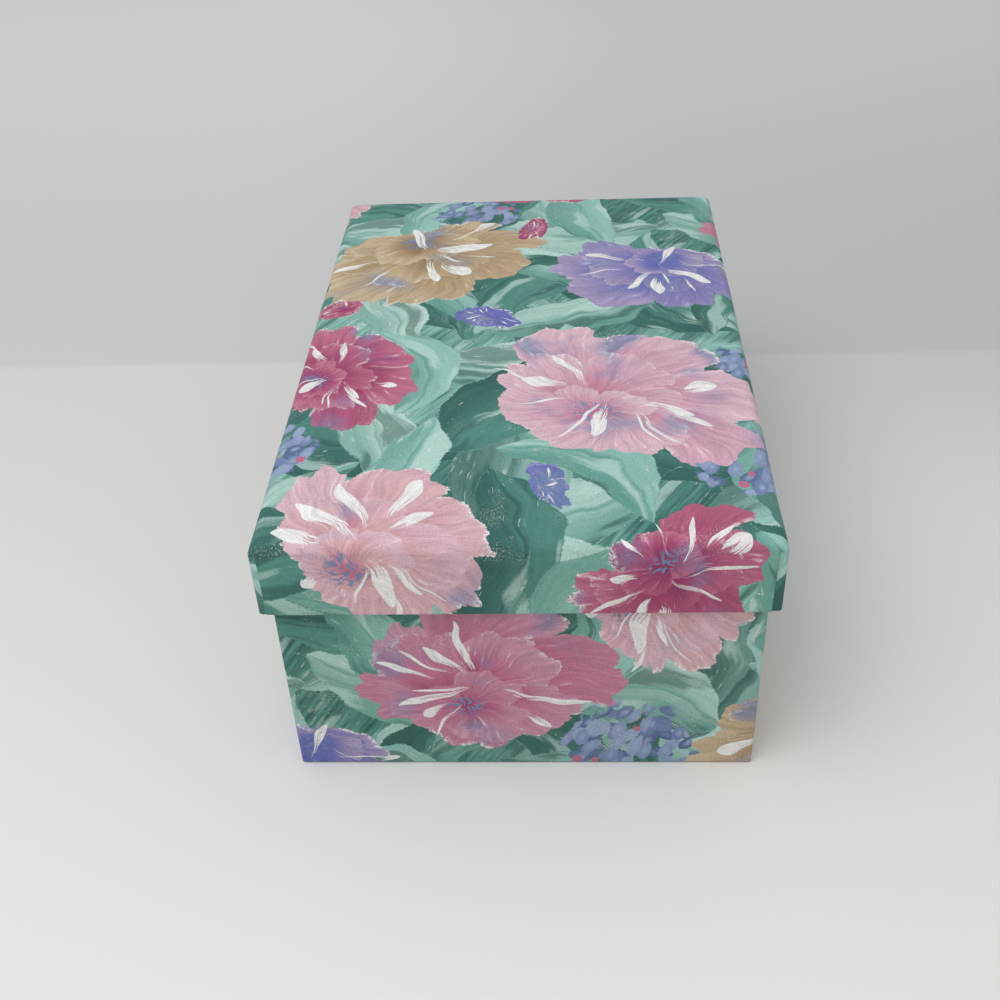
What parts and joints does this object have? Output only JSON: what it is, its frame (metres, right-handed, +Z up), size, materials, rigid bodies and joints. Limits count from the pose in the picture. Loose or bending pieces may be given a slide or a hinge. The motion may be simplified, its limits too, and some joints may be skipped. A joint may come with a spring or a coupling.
{
  "type": "jewelry chest",
  "caption": "Rectangular cloth-covered board box with a slip-on lift-off lid and a lift-out divided tray with padded ring rolls.",
  "frame": {"origin": "on the surface the chest stands on, under the middle of the lid", "axes": "+X to the right as seen from the front, +Y from the front end to the back end, +Z up"},
  "size_m": [0.19, 0.292, 0.118],
  "materials": {
    "floral_cloth": "satin",
    "greyboard": "matte",
    "kraft_tape": "matte",
    "lining_paper": "satin",
    "bottom_paper": "matte",
    "wadding": "matte",
    "velvet": "matte",
    "ribbon": "satin"
  },
  "bodies": {
    "base": {"base_cover_cloth": "floral_cloth", "base_bottom_sheet": "bottom_paper", "base_floor_board": "greyboard", "base_wall_board_front": "greyboard", "base_wall_board_back": "greyboard", "base_wall_board_left": "greyboard", "base_wall_board_right": "greyboard", "base_corner_stay_front_left": "kraft_tape", "base_corner_stay_front_right": "kraft_tape", "base_corner_stay_back_left": "kraft_tape", "base_corner_stay_back_right": "kraft_tape", "base_floor_lining": "lining_paper", "base_wall_lining": "lining_paper", "tray_rest_front": "lining_paper", "tray_rest_back": "lining_paper", "tray_rest_left": "lining_paper", "tray_rest_right": "lining_paper"},
    "lid": {"lid_cover_cloth": "floral_cloth", "lid_wadding": "wadding", "lid_top_board": "greyboard", "lid_rim_board_front": "greyboard", "lid_rim_board_back": "greyboard", "lid_rim_board_left": "greyboard", "lid_rim_board_right": "greyboard", "lid_corner_stay_front_left": "kraft_tape", "lid_corner_stay_front_right": "kraft_tape", "lid_corner_stay_back_left": "kraft_tape", "lid_corner_stay_back_right": "kraft_tape", "lid_rim_lining": "lining_paper", "lid_top_lining": "lining_paper"},
    "tray": {"tray_cover_cloth": "velvet", "tray_floor_board": "greyboard", "tray_wall_board_front": "greyboard", "tray_wall_board_back": "greyboard", "tray_wall_board_left": "greyboard", "tray_wall_board_right": "greyboard", "tray_floor_pad": "velvet", "tray_divider_ring_bay": "velvet", "tray_divider_rear": "velvet", "tray_divider_long": "velvet", "ring_roll_1": "velvet", "ring_roll_2": "velvet", "ring_roll_3": "velvet", "ring_roll_4": "velvet", "ring_roll_5": "velvet", "ring_roll_6": "velvet", "tray_ribbon_left": "ribbon", "tray_ribbon_right": "ribbon"}
  },
  "joints": [
    {"name": "lid_lift", "type": "slide", "parent": "base", "child": "lid", "axis": [0, 0, 1], "range_m": [0, 0.12]},
    {"name": "tray_lift", "type": "slide", "parent": "base", "child": "tray", "axis": [0, 0, 1], "range_m": [0, 0.05]}
  ],
  "couplings": [
    {"joint": "tray_lift", "follows": "lid_lift", "ratio": 0.4166}
  ]
}
